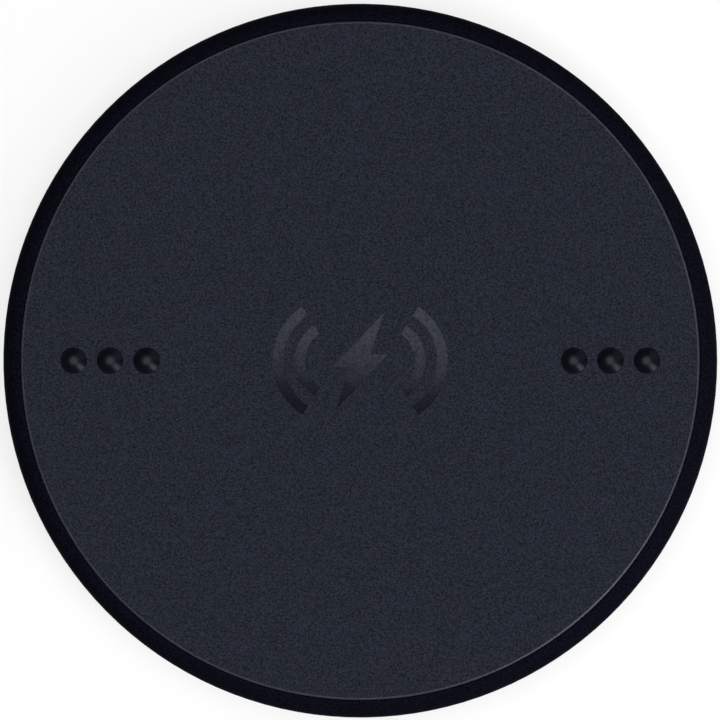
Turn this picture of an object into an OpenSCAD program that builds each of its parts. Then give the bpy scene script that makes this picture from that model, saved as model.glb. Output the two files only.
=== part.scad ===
// Round wireless charging pad: a two-part case that carries a transmitter coil on a ferrite disc,
// a crescent circuit board with a USB-C socket, a grained top pad and rubber grip nubs.
// Millimetres. +Z is up, the origin is on the table under the middle of the case, and the
// USB-C socket faces +Y.

/* [Case] */
// Outside diameter of the case
body_d = 100; // [98:1:130]
// Height of the charging surface above the table
body_h = 9; // [9:0.1:14]
// Thickness of the side wall at the parting line
side_wall = 2.8; // [2.4:0.1:3.2]
// Thickness of the lower case's floor
floor_t = 1.6; // [1.4:0.1:2]
// Thickness of the upper case's deck, under the top pad
deck_t = 1.3; // [1.1:0.1:1.8]
// How far the side curves in at the base
base_tuck = 1.7; // [1:0.1:1.8]
// Height of the side's widest point above the opening for the socket
brow_h = 0.2; // [0.1:0.05:0.4]
// Width of the flat land on top of the upper case's lip
lip_land = 0.15; // [0.1:0.05:0.4]
// Depth of the shadow line between the two cases
seam_depth = 0.12; // [0.05:0.01:0.2]
// Height of the tongue that locates the two cases
tongue_h = 1; // [0.6:0.1:1.4]
// Thickness of that tongue
tongue_t = 0.9; // [0.7:0.1:1.2]

/* [Top pad] */
// Width of the case that shows around the top pad
rim_w = 2.5; // [2:0.1:4]
// Thickness of the top pad
pad_t = 0.95; // [0.7:0.05:1.3]
// How far the top pad stands above the case's lip
pad_proud = 0.2; // [0.1:0.05:0.4]
// Chamfer on the top pad's edge
pad_chamfer = 0.3; // [0.1:0.05:0.35]
// Thickness of the adhesive sheet under the top pad
sheet_t = 0.15; // [0.1:0.05:0.3]

/* [Charging icon] */
// Distance of each pair of waves' centre from the middle
wave_centre_x = 3.2; // [2:0.1:5]
// Centreline radius of the inner waves
wave_inner_r = 5.2; // [4:0.1:6]
// Centreline radius of the outer waves
wave_outer_r = 8.3; // [7.6:0.1:10]
// Stroke width of the waves
wave_w = 1.5; // [0.8:0.1:1.8]
// Angle that each wave spans
wave_span = 114; // [60:1:150]
// Height of the lightning bolt
bolt_h = 13.6; // [8:0.1:16]
// Width of the lightning bolt
bolt_w = 7.9; // [4:0.1:8.4]
// Depth of the recess that the icon sits in
icon_recess = 0.15; // [0.1:0.01:0.3]
// Thickness of the icon inlay
icon_t = 0.1; // [0.05:0.01:0.2]

/* [Grip nubs] */
// Diameter of a grip nub
nub_d = 3.6; // [2.6:0.1:4.4]
// How far a nub stands above the top pad
nub_rise = 0.8; // [0.4:0.1:1.2]
// Distance of each row's innermost nub from the middle
nub_first_x = 29.9; // [28:0.1:31]
// Distance between the nubs of a row
nub_pitch = 5.1; // [4.6:0.1:5.6]
// Number of nubs in a row
nub_count = 3; // [1:1:3]
// Diameter of the stem that passes through the deck
stem_d = 2; // [1.4:0.1:2.2]
// Diameter of the barb under the deck
barb_d = 2.8; // [2.4:0.1:3.2]

/* [Foot ring] */
// How far the foot ring holds the case off the table
foot_proud = 0.8; // [0.6:0.1:1.2]
// Inside diameter of the foot ring
foot_inner_d = 72; // [70:1:74]
// Width of the foot ring
foot_w = 8; // [7:0.5:9]
// Depth of the groove that the foot ring sits in
foot_groove = 0.6; // [0.4:0.1:0.8]
// Thickness of the adhesive ring above the foot ring
foot_tape_t = 0.1; // [0.05:0.05:0.2]

/* [Coil stack] */
// Inside diameter of the coil
coil_inner_d = 20.5; // [18:0.5:26]
// Width of the ferrite that shows around the coil
coil_margin = 3; // [2.5:0.5:6]
// Number of turns
coil_turns = 10; // [6:1:12]
// Thickness of the coil
coil_t = 1.15; // [1:0.05:1.4]
// Gap between one turn and the next
turn_gap = 0.12; // [0.08:0.02:0.3]
// Diameter of the ferrite disc
ferrite_d = 50; // [48:0.5:52]
// Thickness of the ferrite disc
ferrite_t = 1; // [0.9:0.1:1.3]
// Clear space between the coil and the deck
coil_headroom = 0.6; // [0.5:0.1:1.2]
// Diameter of the two coil leads
lead_d = 0.9; // [0.6:0.1:0.9]

/* [Circuit board] */
// Thickness of the circuit board
board_t = 1; // [0.8:0.2:1.2]
// Height of the board's posts above the floor
board_standoff = 1; // [0.9:0.1:1.4]
// Gap between the ferrite's holder and the board's inner edge
board_gap = 2; // [1.5:0.5:3]
// Angle that the crescent spans
board_span = 156; // [150:1:160]

/* [USB-C socket] */
// Outside width of the metal shell
usb_w = 8.94; // [8.94:0.01:9.2]
// Outside height of the metal shell
usb_h = 3.16; // [3.16:0.01:3.3]
// Depth of the metal shell
usb_depth = 7.35; // [6.8:0.05:8]
// Wall of the metal shell
usb_wall = 0.3; // [0.2:0.05:0.3]
// Height of the socket's middle above the board's middle
usb_rise = 0.4; // [0.3:0.1:0.8]
// Distance of the socket's mouth inside the case's widest point
usb_inset = 0.8; // [0.8:0.05:1]

/* [Screws] */
// Thread diameter of the case screws
case_screw_d = 2; // [1.8:0.1:2.4]
// Length of the case screws under the head
case_screw_l = 3.6; // [3:0.1:4]
// Head diameter of the case screws
case_head_d = 3.6; // [3.2:0.1:4]
// Thread diameter of the board screws
board_screw_d = 1.6; // [1.4:0.1:1.8]
// Head diameter of the board screws
board_head_d = 2.8; // [2.6:0.1:3]

/* [Status light] */
// Direction of the light from the middle, in degrees from +X
light_az = 76; // [74:1:77]
// Diameter of the light guide
guide_d = 1; // [0.8:0.1:1.2]

/* [Hidden] */
$fn = 96;

eps = 0.01;
clear_fit = 0.1;       // between pieces that are laid or slid together
usb_clear = 0.13;      // between the socket's shell and the case
moulding_edge = 0.3;   // edge break on rubber and plastic parts

// Heights, from the table up
z_base = foot_proud;
z_groove = z_base + foot_groove;
z_floor = z_base + floor_t;
z_board = z_floor + board_standoff;
z_board_top = z_board + board_t;
z_port = (z_board + z_board_top) / 2 + usb_rise;
z_part = z_port;
z_wide = z_port + usb_h / 2 + usb_clear + brow_h;   // where the side is widest
z_deck = body_h - pad_t - sheet_t;
z_ceiling = z_deck - deck_t;
z_lip = body_h - pad_proud;
z_coil = z_ceiling - coil_headroom - coil_t;
coil_film_t = 0.1;
z_ferrite = z_coil - coil_film_t - ferrite_t;
ferrite_tape_t = 0.2;
z_shelf = z_ferrite - ferrite_tape_t;

// Radii, from the outside in
case_r = body_d / 2;
pad_r = case_r - rim_w;
recess_r = pad_r + clear_fit;
lip_r = recess_r + lip_land;
base_r = case_r - base_tuck;
inner_r = case_r - side_wall;
tongue_r = inner_r + tongue_t;
seam_r = case_r - bulge_r(base_r, z_base)
    + sqrt(pow(bulge_r(base_r, z_base), 2) - pow(z_wide - z_part, 2));

// Foot ring and the screws that it hides
foot_inner_r = foot_inner_d / 2;
foot_outer_r = foot_inner_r + foot_w;
label_r = foot_inner_r - 6;
label_t = 0.15;
label_recess = 0.25;
screw_ring_r = (foot_inner_r + foot_outer_r) / 2;
case_screws_n = 4;
case_screw_az = [for (i = [0:case_screws_n - 1]) 360 / case_screws_n * (i + 0.5)];
case_head_h = 1.2;
head_gap = 0.15;
z_seat = z_groove + head_gap + case_head_h;   // face that the screw heads pull on
seat_t = 1.2;
z_sleeve = z_seat + seat_t;                   // where the two bosses meet
boss_r = case_screw_d / 2 + 1.5;
thread_pitch = 0.6;
thread_depth = 0.16;

// Holder that centres the ferrite disc
holder_gap = 0.3;
holder_wall = 1.2;
holder_r = ferrite_d / 2 + holder_gap;
holder_rise = 0.6;   // how far the holder's wall stands above the ferrite's underside
shelf_w = 1.6;
shelf_rings_r = [coil_inner_d / 2 - 2, coil_inner_d / 2 + 6.75, holder_r - shelf_w];
coil_outer_d = ferrite_d - 2 * coil_margin;
press_rib_w = 1.2;   // upper case's ring that presses on the ferrite's rim
press_rib_r = coil_outer_d / 2 + 0.7;
press_gap = 0.05;

// Coil leads and sensor wires leave on either side of the socket
lead_az = 60;
lead_offset = 2.3;
lead_slot_w = lead_d + 0.7;
sensor_az = 120;
sensor_wire_d = 0.4;
sensor_wire_gap = 0.9;
gap_sill = 0.3;   // height left across the floor where a ring is cut for a wire
bead_r = (coil_film_t + coil_t + coil_headroom) / 2 - 0.05;

// Crescent circuit board
board_inner_r = holder_r + holder_wall + board_gap;
board_outer_r = inner_r - 0.7;
boss_clear_r = boss_r + 0.6;
board_az0 = 90 - board_span / 2;
board_screw_places = [
    [board_az0 + 6, board_inner_r + 4], [74, board_inner_r + 9],
    [106, board_inner_r + 9], [board_az0 + board_span - 6, board_inner_r + 4]
];
board_head_h = 0.7;
board_screw_l = 2.2;
post_r = board_screw_d / 2 + 1;

// Socket
usb_mouth_y = case_r - usb_inset;
usb_back_y = usb_mouth_y - usb_depth;
tongue_board_w = 6.69;
tongue_board_t = 0.7;
tongue_block_l = 2.2;
tongue_nose_inset = 0.7;
contact_n = 12;
contact_pitch = 0.5;
contact_w = 0.25;
contact_t = 0.06;
contact_nose = 0.5;

// Status light
z_guide = z_part + guide_d / 2 + 0.4;
guide_flange_t = 0.5;
guide_flange_r = guide_d / 2 + 0.35;
led_size = [0.9, 1.8, 0.8];

// ---- Shared shapes ----

// Radius of the side's bulge from its widest point to an edge above or below it
function bulge_r(edge_r, edge_z) =
    (pow(case_r - edge_r, 2) + pow(edge_z - z_wide, 2)) / (2 * (case_r - edge_r));

// Section through that bulge between two heights
module side_section(edge_r, edge_z, z0, z1) {
    rho = bulge_r(edge_r, edge_z);
    intersection() {
        translate([case_r - rho, z_wide]) circle(r = rho);
        translate([recess_r - 2, z0]) square([case_r, z1 - z0]);
    }
}

// Section of the bevel that leaves a shadow line where the two cases meet
module seam_bevel(side) {
    inside = seam_r - seam_depth;
    outside = case_r + 1;
    polygon([
        [inside, z_part], [outside, z_part], [outside, z_part + side * (outside - inside)]
    ]);
}

function reversed(points) = [for (i = [len(points) - 1:-1:0]) points[i]];

module at(az, r, z = 0) {
    rotate([0, 0, az]) translate([r, 0, z]) children();
}

// Ring with square edges
module ring(inner, outer, z, height) {
    translate([0, 0, z]) difference() {
        cylinder(r = outer, h = height);
        translate([0, 0, -1]) cylinder(r = inner, h = height + 2);
    }
}

// Bar with round sides along Y, centred on X and Z, from y0 towards +Y
module stadium_bar(w, h, y0, depth) {
    translate([0, y0, 0]) rotate([-90, 0, 0]) union() {
        translate([-(w - h) / 2, -h / 2, 0]) cube([w - h, h, depth]);
        for (side = [-1, 1])
            translate([side * (w - h) / 2, 0, 0]) cylinder(d = h, h = depth);
    }
}

// Straight round wire through a list of points, with a small bead at each corner
module wire(points, d) {
    bead = 1.2 * d;
    for (i = [0:len(points) - 2]) {
        a = points[i];
        b = points[i + 1];
        v = b - a;
        translate(a)
            rotate([0, acos(v[2] / norm(v)), atan2(v[1], v[0])])
                cylinder(d = d, h = norm(v));
        if (i > 0) translate(a) sphere(d = bead);
    }
}

// Pan-head screw along +Z with its head under z = 0, a ringed thread and a cross recess
module pan_screw(d, l, head_d, head_h, pitch = thread_pitch, depth = thread_depth) {
    plain = 0.35;   // unthreaded length under the head
    tip = 0.3;
    rings = floor((l - tip - plain) / pitch + 0.15);
    root = d / 2 - depth;
    thread = [for (i = [0:rings - 1]) each [
        [root, plain + i * pitch],
        [d / 2, plain + (i + 0.35) * pitch],
        [d / 2, plain + (i + 0.5) * pitch],
        [root, plain + (i + 0.85) * pitch]
    ]];
    difference() {
        rotate_extrude() polygon(concat(
            [[0, -head_h], [head_d / 2 - 0.35, -head_h], [head_d / 2, -head_h + 0.4],
             [head_d / 2, 0], [root, 0]],
            thread,
            [[root, l - tip], [root - tip, l], [0, l]]));
        for (turn = [0, 90]) rotate([0, 0, turn])
            translate([-head_d * 0.28, -head_d * 0.06, -head_h - 1])
                cube([head_d * 0.56, head_d * 0.12, 1 + head_h * 0.55]);
    }
}

// ---- Case ----

module port_hole() {
    translate([0, 0, z_port])
        stadium_bar(usb_w + 2 * usb_clear, usb_h + 2 * usb_clear, inner_r - 2, side_wall + 4);
}

module guide_hole(r) {
    at(light_az, inner_r - 1, z_guide) rotate([0, 90, 0]) cylinder(r = r, h = side_wall + 3);
}

// Gaps in a ring where the coil leads and the sensor wires cross it
module wire_gaps(z, height) {
    rotate([0, 0, lead_az])
        translate([coil_outer_d / 2 - 1, -lead_slot_w / 2, z])
            cube([holder_r + holder_wall - coil_outer_d / 2 + 2,
                  lead_slot_w + lead_offset, height]);
    rotate([0, 0, sensor_az])
        translate([coil_outer_d / 2 - 1, -sensor_wire_gap - 0.3, z])
            cube([holder_r + holder_wall - coil_outer_d / 2 + 2,
                  2 * sensor_wire_gap + 0.6, height]);
}

module upper_case_body() {
    rotate_extrude() difference() {
        union() {
            side_section(lip_r, z_lip, z_wide, z_lip);
            side_section(base_r, z_base, z_part, z_wide);
            translate([0, z_ceiling]) square([recess_r, deck_t]);
        }
        translate([0, z_deck]) square([recess_r, z_lip]);
        square([inner_r, z_ceiling]);
        square([tongue_r + clear_fit, z_part + tongue_h + clear_fit]);
        seam_bevel(1);
    }
}

module upper_case() {
    color("#0b0c12") difference() {
        union() {
            upper_case_body();
            for (az = case_screw_az)
                at(az, screw_ring_r, z_sleeve + clear_fit)
                    cylinder(r = boss_r, h = z_ceiling - z_sleeve - clear_fit + eps);
            difference() {
                ring(press_rib_r, press_rib_r + press_rib_w, z_ferrite + ferrite_t + press_gap,
                     z_ceiling - z_ferrite - ferrite_t - press_gap + eps);
                wire_gaps(z_floor, z_ceiling);
            }
            usb_clamp();
        }
        for (az = case_screw_az)
            at(az, screw_ring_r, z_sleeve)
                cylinder(d = case_screw_d, h = z_seat + case_screw_l + 0.3 - z_sleeve);
        for (x = nub_places())
            translate([x, 0, z_ceiling - 1]) cylinder(d = stem_d + clear_fit, h = deck_t + 2);
        port_hole();
        guide_hole(guide_d / 2);
    }
}

// Block under the deck that keeps the socket from lifting
module usb_clamp() {
    clamp_w = usb_w - 1;
    clamp_l = 2;
    translate([-clamp_w / 2, usb_back_y + 0.6, z_port + usb_h / 2 + press_gap])
        cube([clamp_w, clamp_l, z_ceiling - z_port - usb_h / 2 - press_gap + eps]);
}

module lower_case_body() {
    groove_in = foot_inner_r - clear_fit;
    rotate_extrude() difference() {
        union() {
            side_section(base_r, z_base, z_base, z_part);
            translate([0, z_base]) square([inner_r, floor_t]);
            translate([inner_r, z_part - 1]) square([tongue_t, tongue_h + 1]);
        }
        translate([0, z_floor]) square([inner_r, z_part]);
        translate([groove_in, 0]) square([foot_w + 2 * clear_fit, z_groove]);
        square([label_r + clear_fit, z_base + label_recess]);
        seam_bevel(-1);
    }
}

module lower_case() {
    color("#0a0b10") difference() {
        union() {
            lower_case_body();
            for (az = case_screw_az)
                at(az, screw_ring_r, z_floor - eps)
                    cylinder(r = boss_r, h = z_sleeve - z_floor + eps);
            for (place = board_screw_places)
                at(place[0], place[1], z_floor - eps)
                    cylinder(r = post_r, h = board_standoff + eps);
            for (r = shelf_rings_r)
                ring(r, r + shelf_w + eps, z_floor - eps, z_shelf - z_floor + eps);
            ring(holder_r, holder_r + holder_wall, z_floor - eps,
                 z_ferrite + holder_rise - z_floor + eps);
        }
        for (az = case_screw_az) at(az, screw_ring_r) {
            translate([0, 0, z_base - 1])
                cylinder(d = case_head_d + 2 * clear_fit, h = z_seat - z_base + 1);
            cylinder(d = case_screw_d + 2 * clear_fit, h = z_sleeve + 1);
        }
        for (place = board_screw_places)
            at(place[0], place[1], z_board_top - board_screw_l - 0.2)
                cylinder(d = board_screw_d, h = board_screw_l + 1);
        wire_gaps(z_floor + gap_sill, z_ceiling);
        port_hole();
        guide_hole(guide_d / 2 + 0.2);
    }
}

// ---- Top pad, icon and nubs ----

function nub_places() =
    [for (side = [-1, 1], i = [0:nub_count - 1]) side * (nub_first_x + i * nub_pitch)];

// One wave of the icon on the +X side
module wave(r, grow, z, height) {
    inner = r - wave_w / 2 - grow;
    outer = r + wave_w / 2 + grow;
    translate([wave_centre_x, 0, 0]) rotate([0, 0, -wave_span / 2])
        rotate_extrude(angle = wave_span)
            translate([inner, z]) square([outer - inner, height]);
}

// Six-cornered bolt, the same when turned half round
module bolt(z, height) {
    half = [
        [0.43 * bolt_w, 0.5 * bolt_h],
        [0.19 * bolt_w, 0.07 * bolt_h],
        [0.5 * bolt_w, 0.065 * bolt_h]
    ];
    translate([0, 0, z]) linear_extrude(height = height)
        polygon(concat(half, [for (p = half) -p]));
}

module icon_shape(z, height, grow = 0) {
    for (side = [0, 180], r = [wave_inner_r, wave_outer_r])
        rotate([0, 0, side]) wave(r, grow, z, height);
    bolt(z, height);
}

module top_pad() {
    z0 = z_deck + sheet_t;
    color("#25282f") difference() {
        rotate_extrude() polygon([
            [0, z0], [pad_r, z0], [pad_r, body_h - pad_chamfer],
            [pad_r - pad_chamfer, body_h], [0, body_h]
        ]);
        for (x = nub_places())
            translate([x, 0, z0 - 1]) cylinder(d = nub_d + clear_fit, h = pad_t + 2);
        icon_shape(body_h - icon_recess, icon_recess + 1);
    }
}

module pad_adhesive_sheet() {
    color("#d8d8d4") difference() {
        translate([0, 0, z_deck]) cylinder(r = pad_r - 0.6, h = sheet_t);
        for (x = nub_places())
            translate([x, 0, z_deck - 1]) cylinder(d = nub_d + clear_fit, h = sheet_t + 2);
    }
}

module charging_icon() {
    color("#383b42") icon_shape(body_h - icon_recess, icon_t);
}

// Domed head on a plug that fills the pad, with a barbed stem through the deck
module grip_nub() {
    r = nub_d / 2;
    dome_r = (r * r + nub_rise * nub_rise) / (2 * nub_rise);
    barb_r = barb_d / 2;
    stem_r = stem_d / 2;
    z_barb = z_ceiling - clear_fit;
    union() {
        intersection() {
            translate([0, 0, body_h + nub_rise - dome_r]) sphere(r = dome_r);
            translate([0, 0, body_h]) cylinder(r = r + 1, h = nub_rise + 1);
        }
        rotate_extrude() polygon([
            [0, z_barb - 0.8], [stem_r - 0.4, z_barb - 0.8], [barb_r, z_barb - 0.25],
            [barb_r, z_barb], [stem_r, z_barb], [stem_r, z_deck], [r, z_deck],
            [r, body_h], [0, body_h]
        ]);
    }
}

module grip_nubs() {
    color("#101218") for (x = nub_places()) translate([x, 0, 0]) grip_nub();
}

// ---- Foot ring, label and case screws ----

// Soft ring with two shallow grooves in the face that grips the table
module foot_ring() {
    groove_w = 0.6;
    groove_d = 0.25;
    lands = [for (i = [1:2]) foot_inner_r + foot_w * i / 3];
    top = z_groove - foot_tape_t;
    color("#1a1b1f") rotate_extrude() polygon(concat(
        [[foot_inner_r, top], [foot_inner_r, moulding_edge],
         [foot_inner_r + moulding_edge, 0]],
        [for (r = lands) each [
            [r - groove_w / 2, 0], [r - groove_w / 4, groove_d],
            [r + groove_w / 4, groove_d], [r + groove_w / 2, 0]]],
        [[foot_outer_r - moulding_edge, 0], [foot_outer_r, moulding_edge],
         [foot_outer_r, top]]));
}

module foot_adhesive_ring() {
    color("#c9c7bd") difference() {
        ring(foot_inner_r + 0.3, foot_outer_r - 0.3, z_groove - foot_tape_t, foot_tape_t);
        for (az = case_screw_az)
            at(az, screw_ring_r, z_groove - 1) cylinder(d = case_head_d + 0.6, h = 2);
    }
}

module base_label() {
    color("#1d1e22") translate([0, 0, z_base + label_recess - label_t])
        cylinder(r = label_r, h = label_t);
}

module case_screws() {
    color("#8d9095") for (az = case_screw_az)
        at(az, screw_ring_r, z_seat)
            pan_screw(case_screw_d, case_screw_l, case_head_d, case_head_h);
}

// ---- Coil stack ----

coil_pitch = ((coil_outer_d - coil_inner_d) / 2 + turn_gap) / (coil_turns + 1);
strip_w = coil_pitch - turn_gap;
coil_end_az = asin(lead_offset / (coil_outer_d / 2 - strip_w / 2));
coil_steps = 40;   // per turn

function spiral(offset) =
    let (last = ceil(coil_steps * coil_turns))
    [for (i = [0:last])
        let (share = i / last,
             r = coil_inner_d / 2 + offset + share * coil_turns * coil_pitch,
             az = lead_az + share * (360 * coil_turns + coil_end_az))
        [r * cos(az), r * sin(az)]];

module transmitter_coil() {
    color("#b4673a") translate([0, 0, z_coil]) linear_extrude(height = coil_t)
        polygon(concat(spiral(0), reversed(spiral(strip_w))));
}

module lead_slot(z, height) {
    rotate([0, 0, lead_az])
        translate([coil_inner_d / 2 - lead_d - 0.8, -lead_slot_w / 2, z])
            cube([ferrite_d, lead_slot_w, height]);
}

module ferrite_disc() {
    color("#33343a") difference() {
        translate([0, 0, z_ferrite]) cylinder(d = ferrite_d, h = ferrite_t);
        lead_slot(z_ferrite - 1, ferrite_t + 2);
    }
}

// Adhesive rings between the shelves of the lower case and the ferrite disc
module ferrite_tape() {
    color("#cfae55") difference() {
        for (r = shelf_rings_r)
            ring(r, min(r + shelf_w, ferrite_d / 2), z_shelf, ferrite_tape_t);
        lead_slot(z_shelf - 1, ferrite_tape_t + 2);
    }
}

module coil_adhesive_film() {
    color("#c79a3c") difference() {
        ring(coil_inner_d / 2 + 0.2, coil_outer_d / 2 - 0.4, z_coil - coil_film_t, coil_film_t);
        lead_slot(z_coil - 1, 2);
    }
}

z_lead_low = z_ferrite + ferrite_t / 2;
z_lead_pad = z_board_top + lead_d / 2 + 0.05;
lead_pad_r = board_inner_r + 3;

// Inner lead: down inside the coil, out through the ferrite's slot, up onto the board
inner_lead_x = coil_inner_d / 2 - lead_d / 2 - 0.2;
inner_lead_path = [
    [coil_inner_d / 2 - 0.04, 0, z_coil + coil_t / 2],
    [inner_lead_x, 0, z_coil + coil_t / 2],
    [inner_lead_x, 0, z_lead_low],
    [board_inner_r - 3, 0, z_lead_low],
    [board_inner_r - 0.6, 0, z_lead_pad],
    [lead_pad_r, 0, z_lead_pad]
];
// Outer lead: straight out from the coil's last turn, then down onto the board
outer_lead_x = sqrt(pow(coil_outer_d / 2, 2) - pow(lead_offset - lead_d / 2, 2)) + eps;
outer_lead_path = [
    [outer_lead_x, lead_offset, z_coil + coil_t / 2],
    [board_inner_r - 2, lead_offset, z_coil + coil_t / 2],
    [board_inner_r - 0.6, lead_offset, z_lead_pad],
    [lead_pad_r, lead_offset, z_lead_pad]
];

module coil_leads() {
    color("#c0733f") rotate([0, 0, lead_az]) {
        wire(inner_lead_path, lead_d);
        wire(outer_lead_path, lead_d);
    }
}

module temperature_sensor() {
    z_bead = z_ferrite + ferrite_t + bead_r;
    z_over = z_coil + coil_t + sensor_wire_d / 2 + 0.05;
    z_pad = z_board_top + sensor_wire_d / 2 + 0.03;
    color("#2f6e4f") rotate([0, 0, sensor_az]) union() {
        translate([0, 0, z_bead]) sphere(r = bead_r);
        for (side = [-1, 1]) {
            y = side * sensor_wire_gap / 2;
            wire([[0, y * 0.5, z_bead], [4, y, z_over], [board_inner_r - 3, y, z_over],
                  [board_inner_r + 0.8, y, z_pad], [lead_pad_r - 0.8, y, z_pad]],
                 sensor_wire_d);
        }
    }
}

// ---- Circuit board ----

module board_outline() {
    difference() {
        circle(r = board_outer_r);
        circle(r = board_inner_r);
        rotate([0, 0, board_az0]) translate([-2 * case_r, -4 * case_r])
            square([4 * case_r, 4 * case_r]);
        rotate([0, 0, board_az0 + board_span]) translate([-2 * case_r, 0])
            square([4 * case_r, 4 * case_r]);
    }
}

module circuit_board() {
    color("#123b2a") difference() {
        translate([0, 0, z_board]) linear_extrude(height = board_t) board_outline();
        for (az = case_screw_az)
            at(az, screw_ring_r, z_board - 1) cylinder(r = boss_clear_r, h = board_t + 2);
        for (place = board_screw_places)
            at(place[0], place[1], z_board - 1)
                cylinder(d = board_screw_d + 2 * clear_fit, h = board_t + 2);
        translate([-usb_w / 2 - clear_fit, usb_back_y - clear_fit, z_board - 1])
            cube([usb_w + 2 * clear_fit, usb_depth, board_t + 2]);
    }
}

module board_screws() {
    color("#b9bcc0") for (place = board_screw_places)
        at(place[0], place[1], z_board_top) mirror([0, 0, 1])
            pan_screw(board_screw_d, board_screw_l, board_head_d, board_head_h, 0.4, 0.12);
}

// Flat chip with a row of metal terminals along each side
module chip(size, pads_per_side) {
    pad_w = 0.25;
    step = (size[0] - 1) / max(1, pads_per_side - 1);
    translate([-size[0] / 2, -size[1] / 2, 0.05]) cube([size[0], size[1], size[2] - 0.05]);
    for (turn = [0:90:270], i = [0:pads_per_side - 1])
        rotate([0, 0, turn])
            translate([size[0] / 2 - 0.4, -(size[0] - 1) / 2 + i * step - pad_w / 2, 0])
                cube([0.42, pad_w, 0.2]);
}

// Ceramic or resistive body between two metal end caps
module end_capped(size) {
    cap = size[0] * 0.18;
    body_inset = 0.04;
    translate([-size[0] / 2 + cap / 2, -size[1] / 2 + body_inset, body_inset])
        cube([size[0] - cap, size[1] - 2 * body_inset, size[2] - 2 * body_inset]);
    for (side = [-1, 1])
        translate([side * (size[0] - cap) / 2 - cap / 2, -size[1] / 2, 0])
            cube([cap, size[1], size[2]]);
}

chip_r = board_inner_r + 4.4;
front_row_r = board_inner_r + 10.4;

module controller_chip() {
    color("#1b1c1f") at(90, chip_r, z_board_top) chip([5, 5, 0.9], 8);
}

module bridge_driver_chips() {
    color("#1b1c1f") for (az = [78, 102]) at(az, chip_r, z_board_top) chip([4, 4, 0.9], 5);
}

module usb_pd_chip() {
    color("#1b1c1f") at(96, front_row_r, z_board_top) chip([3, 3, 0.75], 4);
}

module resonant_capacitors() {
    color("#a88b63") for (az = [110.5, 116], row = [0, 1])
        at(az, chip_r + row * 3.4, z_board_top) end_capped([3.2, 2.5, 1.6]);
}

module input_capacitors() {
    color("#b39a74") for (az = [79, 84, 101])
        at(az, front_row_r, z_board_top) end_capped([3.2, 1.6, 1.2]);
}

module power_inductor() {
    size = [4, 4, 1.6];
    color("#3b3c40") at(65.5, front_row_r, z_board_top) {
        translate([-size[0] / 2, -size[1] / 2, 0.2]) cube([size[0], size[1], size[2] - 0.2]);
        for (side = [-1, 1])
            translate([side * 1.35 - 0.5, -size[1] / 2 - 0.15, 0]) cube([1, size[1] + 0.3, 0.2]);
    }
}

module sense_resistor() {
    color("#26272b") at(127, board_inner_r + 5, z_board_top) end_capped([3.2, 1.6, 0.6]);
}

module clock_crystal() {
    size = [3.2, 2.5, 0.75];
    color("#c9ccd1") at(90, front_row_r - 0.4, z_board_top) {
        translate([-size[0] / 2, -size[1] / 2, 0]) cube([size[0], size[1], size[2] * 0.6]);
        translate([-size[0] / 2 + 0.2, -size[1] / 2 + 0.2, size[2] * 0.6])
            cube([size[0] - 0.4, size[1] - 0.4, size[2] * 0.4]);
    }
}

// Rows of small resistors and capacitors along the board's arms
module small_passives() {
    first_az = board_az0 + 8;
    color("#8d7f68") for (arm = [0, 1], i = [0:4], row = [0, 1]) {
        az = first_az + 4 * i;
        at(arm == 0 ? az : 180 - az, board_inner_r + 7.5 + 2 * row, z_board_top)
            end_capped([1, 0.5, 0.4]);
    }
}

// Solder domes that hold the coil leads on the board
module lead_solder() {
    color("#c4c7ca") rotate([0, 0, lead_az]) for (y = [0, lead_offset])
        difference() {
            translate([lead_pad_r, y, z_board_top]) intersection() {
                sphere(r = 1.1);
                cylinder(r = 2, h = 2);
            }
            wire(inner_lead_path, lead_d);
            wire(outer_lead_path, lead_d);
        }
}

// Soft pad that takes heat from the bridge chips to the floor
module thermal_gap_pad() {
    color("#8fa9c4") for (az = [78, 102])
        at(az, chip_r, z_floor) translate([-2.5, -2.5, 0]) cube([5, 5, board_standoff]);
}

// ---- USB-C socket ----

// Metal shell with four legs that rest on the board beside its cut-out
module usb_shell() {
    leg = [1.1, 1.2, 0.3];
    leg_x = usb_w / 2 - usb_wall / 2;
    color("#b7babf") union() {
        translate([0, 0, z_port]) difference() {
            stadium_bar(usb_w, usb_h, usb_back_y, usb_depth);
            stadium_bar(usb_w - 2 * usb_wall, usb_h - 2 * usb_wall,
                        usb_back_y - 1, usb_depth + 2);
        }
        for (side = [0, 1], y = [0.5, 2.5])
            mirror([side, 0, 0]) translate([leg_x, usb_back_y + y, z_board_top]) cube(leg);
    }
}

module usb_tongue() {
    fit = 0.02;
    color("#17181b") translate([0, 0, z_port]) union() {
        stadium_bar(usb_w - 2 * usb_wall - fit, usb_h - 2 * usb_wall - fit, usb_back_y,
                    tongue_block_l);
        translate([-tongue_board_w / 2, usb_back_y, -tongue_board_t / 2])
            cube([tongue_board_w, usb_depth - tongue_nose_inset, tongue_board_t]);
    }
}

module usb_contacts() {
    span = (contact_n - 1) * contact_pitch;
    y0 = usb_back_y + tongue_block_l;
    color("#d9b24c") translate([0, y0, z_port])
        for (face = [-1, 1], i = [0:contact_n - 1])
            translate([-span / 2 + i * contact_pitch - contact_w / 2, 0,
                       face * (tongue_board_t + contact_t) / 2 - contact_t / 2])
                cube([contact_w,
                      usb_depth - tongue_block_l - tongue_nose_inset - contact_nose, contact_t]);
}

// ---- Status light ----

module status_led() {
    color("#f2efe0") at(light_az, board_outer_r - led_size[0] / 2 - 0.1, z_board_top)
        translate([-led_size[0] / 2, -led_size[1] / 2, 0]) cube(led_size);
}

// Clear peg through the side wall, with a flange inside
module light_guide() {
    color("#e9edf2") at(light_az, inner_r - guide_flange_t, z_guide) rotate([0, 90, 0]) {
        cylinder(r = guide_flange_r - 0.05, h = guide_flange_t - 0.02);
        cylinder(d = guide_d - 0.04, h = side_wall + guide_flange_t - 0.2);
    }
}

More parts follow.
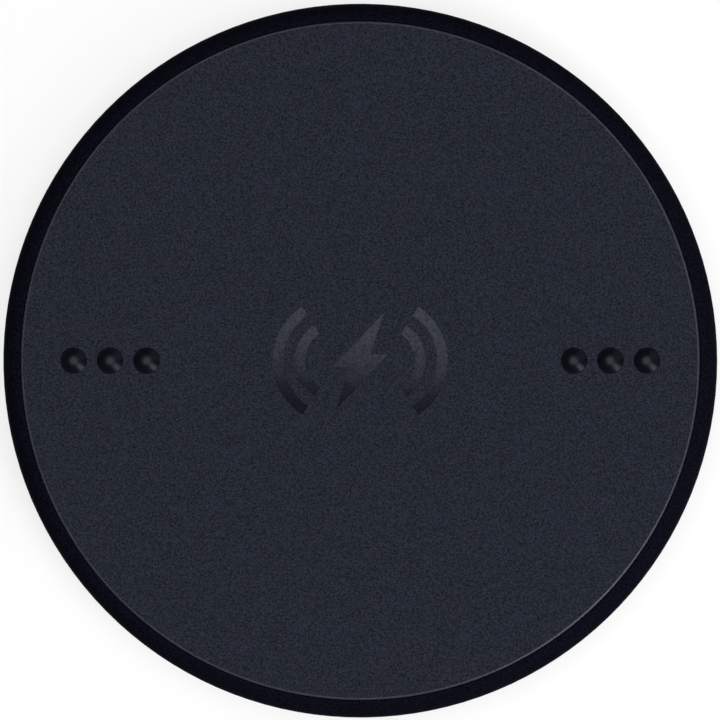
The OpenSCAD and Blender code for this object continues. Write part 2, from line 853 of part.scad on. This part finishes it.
upper_case();
lower_case();
top_pad();
pad_adhesive_sheet();
charging_icon();
grip_nubs();
foot_ring();
foot_adhesive_ring();
case_screws();
board_screws();
circuit_board();
usb_shell();
usb_tongue();
usb_contacts();
controller_chip();
bridge_driver_chips();
usb_pd_chip();
resonant_capacitors();
input_capacitors();
power_inductor();
sense_resistor();
clock_crystal();
small_passives();
lead_solder();
status_led();
light_guide();
ferrite_disc();
ferrite_tape();
coil_adhesive_film();
transmitter_coil();
coil_leads();
temperature_sensor();
thermal_gap_pad();
base_label();
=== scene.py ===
import math

import bmesh
import bpy
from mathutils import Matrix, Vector


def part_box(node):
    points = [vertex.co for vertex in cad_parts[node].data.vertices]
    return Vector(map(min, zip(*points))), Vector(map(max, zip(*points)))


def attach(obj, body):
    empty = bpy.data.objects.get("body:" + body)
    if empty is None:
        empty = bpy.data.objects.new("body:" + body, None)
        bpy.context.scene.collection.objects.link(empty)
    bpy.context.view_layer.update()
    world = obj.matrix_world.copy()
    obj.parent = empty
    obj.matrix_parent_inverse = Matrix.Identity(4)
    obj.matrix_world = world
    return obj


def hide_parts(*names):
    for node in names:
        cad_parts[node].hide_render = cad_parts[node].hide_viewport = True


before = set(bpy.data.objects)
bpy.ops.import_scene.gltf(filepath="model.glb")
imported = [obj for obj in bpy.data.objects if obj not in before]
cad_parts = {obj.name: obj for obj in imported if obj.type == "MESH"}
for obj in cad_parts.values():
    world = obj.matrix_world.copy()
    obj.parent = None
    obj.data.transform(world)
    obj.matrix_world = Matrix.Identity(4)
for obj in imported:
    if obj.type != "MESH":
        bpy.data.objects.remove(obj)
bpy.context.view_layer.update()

MM = 0.001

pad_low, pad_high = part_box("top_pad")
case_low, case_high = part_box("upper_case")

case_r = (case_high.x - case_low.x) / 2
pad_r = (pad_high.x - pad_low.x) / 2
widest_z = 6.2 * MM      # height at which the case is widest


# ---- Materials ----

FACE_GRAIN = 0.245 * MM   # size of the grain that is seen from above
PATCH = 6 * MM            # size of the broad patches in tone and gloss
PATCH_GLOSS = 0.05        # how far the patches change the roughness
RIM_BLEND = 0.5 * MM      # half the height over which the side's finish turns into the rim's
EDGE_INSET = 0.19 * MM    # the middle of the top pad's chamfer, from its outline
EDGE_HALF_W = 0.09 * MM   # half the width of the chamfer's polished band
EDGE_FADE_W = 0.14 * MM   # the same, with the fade on each side of the band


def srgb(red, green, blue):
    """A colour given in 0 to 255 screen values, as linear light."""
    def linear(value):
        value /= 255
        return value / 12.92 if value <= 0.04045 else ((value + 0.055) / 1.055) ** 2.4
    return (linear(red), linear(green), linear(blue), 1.0)


def add(tree, kind, inputs=None, **settings):
    """A new node. An input that is another node's output is linked, any other is set."""
    node = tree.nodes.new("ShaderNode" + kind)
    for key, value in settings.items():
        setattr(node, key, value)
    for key, value in (inputs or {}).items():
        if isinstance(value, bpy.types.NodeSocket):
            tree.links.new(value, node.inputs[key])
        else:
            node.inputs[key].default_value = value
    return node


def math_node(tree, operation, *values):
    return add(tree, "Math", dict(enumerate(values)), operation=operation).outputs[0]


def spread(tree, value, centre, width):
    """value, which runs from 0 to 1, turned into centre plus or minus width."""
    return math_node(tree, "MULTIPLY_ADD", value, 2 * width, centre - width)


def new_tree(name):
    material = bpy.data.materials.new(name)
    material.use_nodes = True
    material.node_tree.nodes.clear()
    return material, material.node_tree


def noise(tree, where, size, detail=2.0, stretch=(1, 1, 1)):
    """Noise with features of that size in metres, from 0 to 1."""
    at = add(tree, "Mapping", {"Vector": where, "Scale": stretch}).outputs[0]
    return add(tree, "TexNoise", {"Vector": at, "Scale": 1 / size, "Detail": detail}).outputs[0]


def surface(name, colour, roughness, grain=0.2 * MM, tint=0.15, bump=0.01 * MM,
            patch_tint=0.05, stretch=(1, 1, 1), detail=2.0, **shader):
    """A finish with fine grain in its colour and relief, and broad patches in tone and gloss.

    grain is the size of the grain and bump its height. tint and patch_tint say how far the
    grain and the patches change the colour. colour, roughness and the further Principled
    sockets in shader are plain values, or functions of (tree, where) that give a value
    which changes over the object.
    """
    material, tree = new_tree(name)
    where = add(tree, "TexCoord").outputs["Object"]
    fine = noise(tree, where, grain, detail=detail, stretch=stretch)
    broad = noise(tree, where, PATCH, detail=4.0)
    tone = math_node(tree, "MULTIPLY", spread(tree, fine, 1, tint),
                     spread(tree, broad, 1, patch_tint))
    base = colour(tree, where) if callable(colour) else colour[:3]
    tinted = add(tree, "VectorMath", {0: base, "Scale": tone}, operation="SCALE").outputs[0]
    relief = add(tree, "Bump", {"Height": fine, "Distance": bump}).outputs[0]
    if callable(roughness):
        gloss = math_node(tree, "ADD", roughness(tree, where),
                          spread(tree, broad, 0, PATCH_GLOSS))
    else:
        gloss = spread(tree, broad, roughness, PATCH_GLOSS)
    sockets = {"Base Color": tinted, "Roughness": gloss, "Normal": relief}
    for key, value in shader.items():
        sockets[key.replace("_", " ")] = value(tree, where) if callable(value) else value
    principled = add(tree, "BsdfPrincipled", sockets)
    add(tree, "OutputMaterial", {"Surface": principled.outputs[0]})
    return material


def radius_from_axis(tree, where):
    flat = add(tree, "VectorMath", {0: where, 1: (1, 1, 0)}, operation="MULTIPLY").outputs[0]
    return add(tree, "VectorMath", {0: flat}, operation="LENGTH").outputs["Value"]


# Ink of the icon with a painted reflection that is dark below and pale above, from its lower end
# to its upper end: millimetres along Y, and the colour
ICON_PAINTED_REFLECTION_TONES = [
    (-6.7, srgb(17, 20, 28)),
    (-4.0, srgb(26, 29, 37)),
    (-2.9, srgb(36, 39, 48)),
    (0.0, srgb(48, 51, 60)),
    (3.0, srgb(54, 57, 66)),
    (6.7, srgb(57, 60, 69)),
]
ICON_TILT = 0.086   # how far the painted reflection's tones lean, as a share of the way across


def painted_reflection_on_icon(tree, where):
    """A painted reflection: fades from dark at the lower end of the icon to pale at the upper
    end.
    """
    part = add(tree, "SeparateXYZ", {0: where})
    height = math_node(tree, "MULTIPLY_ADD", part.outputs[0], ICON_TILT, part.outputs[1])
    low, high = ICON_PAINTED_REFLECTION_TONES[0][0] * MM, ICON_PAINTED_REFLECTION_TONES[-1][0] * MM
    place = add(tree, "MapRange", {"Value": height, "From Min": low, "From Max": high}).outputs[0]
    ramp = add(tree, "ValToRGB", {"Fac": place})
    stops = ramp.color_ramp.elements
    stops[0].color = ICON_PAINTED_REFLECTION_TONES[0][1]
    stops[-1].color = ICON_PAINTED_REFLECTION_TONES[-1][1]
    for y, tone in ICON_PAINTED_REFLECTION_TONES[1:-1]:
        stops.new((y * MM - low) / (high - low)).color = tone
    return ramp.outputs[0]


def slate_with_painted_edge_highlight(tree, where):
    """Slate, a little paler in the middle of the chamfer as a painted highlight on the cut and
    polished edge.
    """
    # painted highlight: the colour 1.25 times as pale on the chamfer's band
    tone = at_pad_edge(1.0, 1.25)(tree, where)
    return add(tree, "VectorMath", {0: srgb(36, 39.5, 49)[:3], "Scale": tone},
               operation="SCALE").outputs[0]


def board_paint(tree, where):
    """Solder mask, with groups of paler lines where copper traces run under it."""
    mask, trace = srgb(12, 56, 39), srgb(22, 78, 55)
    lines = add(tree, "TexBrick", {
        "Vector": where, "Scale": 1 / (2 * MM), "Mortar Size": 0.05, "Mortar Smooth": 0.1,
        "Brick Width": 4.5, "Row Height": 0.25}, offset=0.35)
    routed = add(tree, "MapRange", {
        "Value": noise(tree, where, 5 * MM), "From Min": 0.5, "From Max": 0.54}).outputs[0]
    shown = math_node(tree, "MULTIPLY", lines.outputs["Fac"], routed)
    return add(tree, "Mix", {0: shown, 6: mask, 7: trace}, data_type="RGBA").outputs[2]


def below_the_rim(side, rim):
    """One value for the case's side, and another for the rim above its widest point."""
    def value(tree, where):
        height = add(tree, "SeparateXYZ", {0: where}).outputs[2]
        return add(tree, "MapRange", {
            "Value": height, "From Min": widest_z - RIM_BLEND, "From Max": widest_z + RIM_BLEND,
            "To Min": side, "To Max": rim}).outputs[0]
    return value


def at_pad_edge(face, edge):
    """One value for the top pad's face, and another for the polished middle of its chamfer, which
    also carries the pad's painted highlight.
    """
    def value(tree, where):
        inside = math_node(tree, "SUBTRACT", pad_r - EDGE_INSET, radius_from_axis(tree, where))
        return add(tree, "MapRange", {
            "Value": math_node(tree, "ABSOLUTE", inside), "From Min": EDGE_FADE_W,
            "From Max": EDGE_HALF_W, "To Min": face, "To Max": edge}).outputs[0]
    return value


def paint_nodes(look, *names):
    for name in names:
        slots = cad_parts[name].data.materials
        slots.clear()
        slots.append(look)


pad_look = surface("pad_soft_touch", slate_with_painted_edge_highlight, at_pad_edge(0.8, 0.4), grain=FACE_GRAIN,
                   tint=0.97, bump=0.004 * MM, patch_tint=0.02, detail=0.0,
                   Specular_IOR_Level=at_pad_edge(0.05, 0.7))
case_look = surface("case_plastic", srgb(12.5, 13.5, 22.5), below_the_rim(0.42, 0.55),
                    grain=FACE_GRAIN, tint=1.0, bump=0.004 * MM, detail=0.0,
                    Specular_IOR_Level=below_the_rim(0.13, 0.004))
icon_look = surface("icon_ink", painted_reflection_on_icon, 0.7, grain=FACE_GRAIN, tint=0.6, bump=0.004 * MM,
                    detail=0.0, Specular_IOR_Level=0.05)
nub_look = surface("nub_silicone", srgb(8, 10, 18), 0.3, grain=0.3 * MM, tint=0.1,
                   bump=0.001 * MM, Specular_IOR_Level=0.2, Specular_Tint=(0.75, 0.84, 1, 1))
foot_look = surface("foot_rubber", srgb(30, 31, 35), 0.75, grain=0.25 * MM, tint=0.3,
                    bump=0.015 * MM, Specular_IOR_Level=0.25)
label_look = surface("label_film", srgb(34, 35, 39), 0.5, grain=0.12 * MM, tint=0.15,
                     bump=0.002 * MM, stretch=(1, 14, 1), Specular_IOR_Level=0.3)
sheet_look = surface("adhesive_white", srgb(206, 204, 196), 0.55, grain=0.3 * MM, tint=0.12,
                     bump=0.006 * MM, stretch=(1, 6, 1))
film_look = surface("adhesive_amber", srgb(176, 112, 30), 0.25, grain=0.5 * MM, tint=0.08,
                    bump=0.002 * MM, patch_tint=0.12)
screw_look = surface("screw_steel", srgb(150, 152, 156), 0.32, grain=0.08 * MM, tint=0.12,
                     bump=0.002 * MM, stretch=(1, 1, 5), Metallic=1.0)
board_look = surface("board_laminate", board_paint, 0.35, grain=0.35 * MM, tint=0.2,
                     bump=0.006 * MM, stretch=(1, 3, 1))
steel_look = surface("shell_steel", srgb(176, 179, 184), 0.28, grain=0.06 * MM, tint=0.1,
                     bump=0.0015 * MM, stretch=(8, 1, 1), Metallic=1.0)
resin_look = surface("socket_resin", srgb(26, 27, 30), 0.5, grain=0.1 * MM, tint=0.25,
                     bump=0.004 * MM, Specular_IOR_Level=0.4)
gold_look = surface("contact_gold", srgb(222, 178, 84), 0.22, grain=0.08 * MM, tint=0.08,
                    bump=0.001 * MM, Metallic=1.0)
chip_look = surface("chip_epoxy", srgb(33, 34, 37), 0.55, grain=0.08 * MM, tint=0.3,
                    bump=0.004 * MM)
ceramic_look = surface("capacitor_ceramic", srgb(166, 132, 92), 0.5, grain=0.1 * MM, tint=0.15,
                       bump=0.003 * MM)
iron_look = surface("inductor_ferrite", srgb(66, 67, 72), 0.7, grain=0.15 * MM, tint=0.4,
                    bump=0.01 * MM)
resistor_look = surface("resistor_film", srgb(34, 35, 39), 0.4, grain=0.1 * MM, tint=0.15,
                        bump=0.002 * MM)
can_look = surface("crystal_can", srgb(196, 199, 204), 0.3, grain=0.06 * MM, tint=0.08,
                   bump=0.001 * MM, stretch=(1, 10, 1), Metallic=1.0)
solder_look = surface("solder_tin", srgb(190, 193, 198), 0.25, grain=0.25 * MM, tint=0.1,
                      bump=0.01 * MM, Metallic=1.0)
led_look = surface("led_resin", srgb(236, 226, 178), 0.35, grain=0.12 * MM, tint=0.1,
                   bump=0.003 * MM)
guide_look = surface("guide_clear", srgb(232, 236, 242), 0.18, grain=0.3 * MM, tint=0.04,
                     bump=0.002 * MM, Transmission_Weight=0.6, IOR=1.58)
ferrite_look = surface("ferrite_black", srgb(54, 55, 60), 0.8, grain=0.12 * MM, tint=0.5,
                       bump=0.012 * MM)
copper_look = surface("coil_copper", srgb(190, 104, 52), 0.3, grain=0.12 * MM, tint=0.18,
                      bump=0.003 * MM, stretch=(1, 1, 4), Metallic=0.9)
sensor_look = surface("sensor_glass", srgb(34, 92, 66), 0.3, grain=0.2 * MM, tint=0.12,
                      bump=0.003 * MM)
gap_look = surface("gap_pad_silicone", srgb(138, 164, 192), 0.7, grain=0.15 * MM, tint=0.15,
                   bump=0.01 * MM)

paint_nodes(pad_look, "top_pad")
paint_nodes(case_look, "upper_case", "lower_case")
paint_nodes(icon_look, "charging_icon")
paint_nodes(nub_look, "grip_nubs")
paint_nodes(foot_look, "foot_ring")
paint_nodes(label_look, "base_label")
paint_nodes(sheet_look, "pad_adhesive_sheet", "foot_adhesive_ring", "ferrite_tape")
paint_nodes(film_look, "coil_adhesive_film")
paint_nodes(screw_look, "case_screws", "board_screws")
paint_nodes(board_look, "circuit_board")
paint_nodes(steel_look, "usb_shell")
paint_nodes(resin_look, "usb_tongue")
paint_nodes(gold_look, "usb_contacts")
paint_nodes(chip_look, "controller_chip", "bridge_driver_chips", "usb_pd_chip")
paint_nodes(ceramic_look, "resonant_capacitors", "input_capacitors", "small_passives")
paint_nodes(iron_look, "power_inductor")
paint_nodes(resistor_look, "sense_resistor")
paint_nodes(can_look, "clock_crystal")
paint_nodes(solder_look, "lead_solder")
paint_nodes(led_look, "status_led")
paint_nodes(guide_look, "light_guide")
paint_nodes(ferrite_look, "ferrite_disc")
paint_nodes(copper_look, "transmitter_coil", "coil_leads")
paint_nodes(sensor_look, "temperature_sensor")
paint_nodes(gap_look, "thermal_gap_pad")


# ---- Pieces that replace plain CAD shapes ----

def make_piece(name, work, look, slot_name, *replaced):
    mesh = bpy.data.meshes.new(name)
    work.to_mesh(mesh)
    work.free()
    mesh.shade_smooth()
    mesh.materials.append(look)
    piece = bpy.data.objects.new(name, mesh)
    bpy.context.scene.collection.objects.link(piece)
    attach(piece, "root")
    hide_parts(*replaced)


def add_tube(work, points, radius, sides):
    """A closed round tube along the points, which must not double back."""
    rings = []
    for i, point in enumerate(points):
        ahead = points[min(i + 1, len(points) - 1)] - points[max(i - 1, 0)]
        across = ahead.cross(Vector((0, 0, 1)))
        across = (across if across.length > 1e-9 else Vector((1, 0, 0))).normalized()
        up = across.cross(ahead).normalized()
        rings.append([work.verts.new(point + radius * (across * math.cos(a) + up * math.sin(a)))
                      for a in (2 * math.pi * k / sides for k in range(sides))])
    for one, other in zip(rings, rings[1:]):
        for k in range(sides):
            work.faces.new((one[k], one[k - 1], other[k - 1], other[k]))
    work.faces.new(rings[0])
    work.faces.new(reversed(rings[-1]))


COIL_TURNS = 10
COIL_START_DEG = 60      # where the inner lead leaves
COIL_END_DEG = 6.1       # how far past that the outer lead leaves
COIL_INNER_R = 10.25 * MM
TURN_GAP = 0.12 * MM
STEPS_PER_TURN = 90
STRANDS = 7              # one straight in the middle, the others twisted round it
STRAND_R = 0.16 * MM
STRAND_SIDES = 5
TWISTS_PER_TURN = 7


def add_litz_coil():
    """The coil as a flat spiral of a twisted bundle of enamelled strands."""
    low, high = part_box("transmitter_coil")
    middle_z = (low.z + high.z) / 2
    pitch = ((high.x - low.x) / 2 - COIL_INNER_R + TURN_GAP) / (COIL_TURNS + 1)
    width = pitch - TURN_GAP
    wide, tall = width / 2 - STRAND_R, (high.z - low.z) / 2 - STRAND_R
    steps = STEPS_PER_TURN * COIL_TURNS
    work = bmesh.new()
    for strand in range(STRANDS):
        reach = 0 if strand == 0 else 1
        points = []
        for i in range(steps + 1):
            share = i / steps
            around = 2 * math.pi * (strand / (STRANDS - 1)
                                    + share * COIL_TURNS * TWISTS_PER_TURN)
            r = (COIL_INNER_R + width / 2 + share * COIL_TURNS * pitch
                 + reach * wide * math.cos(around))
            az = math.radians(COIL_START_DEG + share * (360 * COIL_TURNS + COIL_END_DEG))
            points.append(Vector((r * math.cos(az), r * math.sin(az),
                                  middle_z + reach * tall * math.sin(around))))
        add_tube(work, points, STRAND_R, STRAND_SIDES)
    make_piece("litz_coil", work, copper_look, "coil_copper", "transmitter_coil")


add_litz_coil()


# ---- Studio ----

WHITE_SHARE = 0.75      # of the floor's white that the camera sees whatever the lamps do
FLOOR_GREY = 0.27
FLOOR_GAP = 0.02 * MM   # between the foot ring and the floor, so that they don't coincide
FLOOR_INNER_R = 0.2     # metres, as are the other sizes of the backdrop and the lamps
FLOOR_R = 3.0
WALL_R = 3.6
WALL_H = 0.25
WALL_STEPS = 12
FLOOR_SECTORS = 96
WORLD_STRENGTH = 0.1


def backdrop_look():
    """Grey paint that takes shadows. A glow, which only shows where it is seen, whitens it.

    From below it is clear, so that the object's underside can be looked at.
    """
    material, tree = new_tree("backdrop_paper")
    path = add(tree, "LightPath").outputs
    seen = math_node(tree, "MAXIMUM", path["Is Camera Ray"], path["Is Glossy Ray"])
    seen = math_node(tree, "MAXIMUM", seen, path["Is Transmission Ray"])
    glow = math_node(tree, "MULTIPLY", seen, WHITE_SHARE)
    paper = add(tree, "BsdfDiffuse", {"Color": (FLOOR_GREY, FLOOR_GREY, FLOOR_GREY, 1)})
    light = add(tree, "Emission", {"Color": (1, 1, 1, 1), "Strength": glow})
    both = add(tree, "AddShader", {0: paper.outputs[0], 1: light.outputs[0]})
    clear = add(tree, "BsdfTransparent")
    below = add(tree, "NewGeometry").outputs["Backfacing"]
    sides = add(tree, "MixShader", {0: below, 1: both.outputs[0], 2: clear.outputs[0]})
    add(tree, "OutputMaterial", {"Surface": sides.outputs[0]})
    return material


def add_backdrop():
    """A round floor that sweeps up into a low wall far from the object."""
    profile = [(0.0, 0.0), (FLOOR_INNER_R, 0.0), (FLOOR_R, 0.0)]
    for i in range(1, WALL_STEPS + 1):
        turn = math.pi / 2 * i / WALL_STEPS
        profile.append((FLOOR_R + (WALL_R - FLOOR_R) * math.sin(turn),
                        WALL_H * (1 - math.cos(turn))))
    work = bmesh.new()
    corners = [work.verts.new((r, 0, z)) for r, z in profile]
    edges = [work.edges.new(pair) for pair in zip(corners, corners[1:])]
    bmesh.ops.spin(work, geom=corners + edges, axis=(0, 0, 1), cent=(0, 0, 0),
                   steps=FLOOR_SECTORS, angle=2 * math.pi, use_merge=True)
    bmesh.ops.remove_doubles(work, verts=work.verts, dist=0.01 * MM)
    work.normal_update()
    facing_down = [face for face in work.faces if face.normal.z < 0]
    bmesh.ops.reverse_faces(work, faces=facing_down)
    mesh = bpy.data.meshes.new("backdrop")
    work.to_mesh(mesh)
    work.free()
    mesh.shade_smooth()
    mesh.materials.append(backdrop_look())
    obj = bpy.data.objects.new("backdrop", mesh)
    obj.location.z = -FLOOR_GAP
    obj.visible_shadow = False   # or it would keep the lamp below from the underside
    bpy.context.scene.collection.objects.link(obj)


def add_lamp(name, azimuth, polar, distance, size, radiance, round_shape=False):
    """A soft lamp that faces the object, as bright as radiance whatever its size.

    azimuth is its direction from +X, polar its angle from straight up, in degrees.
    """
    a, p = math.radians(azimuth), math.radians(polar)
    away = Vector((math.cos(a) * math.sin(p), math.sin(a) * math.sin(p), math.cos(p)))
    lamp = bpy.data.lights.new(name, "AREA")
    lamp.shape = "DISK" if round_shape else "RECTANGLE"
    lamp.size = size[0]
    lamp.size_y = size[1]
    area = math.pi * (size[0] / 2) ** 2 if round_shape else size[0] * size[1]
    lamp.energy = radiance * math.pi * area
    obj = bpy.data.objects.new(name, lamp)
    obj.location = away * distance
    obj.rotation_mode = "QUATERNION"
    obj.rotation_quaternion = (-away).to_track_quat("-Z", "Y")
    obj.visible_camera = False
    bpy.context.scene.collection.objects.link(obj)


def add_world():
    world = bpy.data.worlds.new("studio_air")
    world.use_nodes = True
    background = world.node_tree.nodes["Background"]
    background.inputs["Color"].default_value = (1, 1, 1, 1)
    background.inputs["Strength"].default_value = WORLD_STRENGTH
    bpy.context.scene.world = world


add_backdrop()
add_lamp("overhead_softbox", azimuth=0, polar=0, distance=1.0, size=(1.0, 1.0), radiance=2.9,
         round_shape=True)
add_lamp("side_strip", azimuth=-45, polar=60, distance=1.1, size=(0.5, 1.1), radiance=4.0)
add_lamp("weak_fill", azimuth=35, polar=60, distance=1.3, size=(1.3, 1.2), radiance=0.4)
add_lamp("under_softbox", azimuth=0, polar=180, distance=1.0, size=(1.0, 1.0), radiance=2.0,
         round_shape=True)
add_world()


# ---- Camera ----

CAMERA_LENS = 700          # so long that the view is nearly parallel
CAMERA_SENSOR = 36
CAMERA_X = -0.04 * MM      # where the picture's middle is from the pad's middle
CAMERA_Y = 0.09 * MM
FRAME_FILL = 0.9915        # of the picture's width that the case takes


def add_camera():
    """Looks straight down, from as far away as puts the case's widest part in the frame."""
    data = bpy.data.cameras.new("camera")
    data.lens = CAMERA_LENS
    data.sensor_width = CAMERA_SENSOR
    half_view = data.sensor_width / 2 / data.lens
    obj = bpy.data.objects.new("camera", data)
    obj.location = (CAMERA_X, CAMERA_Y, widest_z + case_r / FRAME_FILL / half_view)
    data.clip_start = 0.1
    data.clip_end = 20
    bpy.context.scene.collection.objects.link(obj)
    bpy.context.scene.camera = obj


add_camera()

bpy.context.scene.view_settings.view_transform = "Standard"
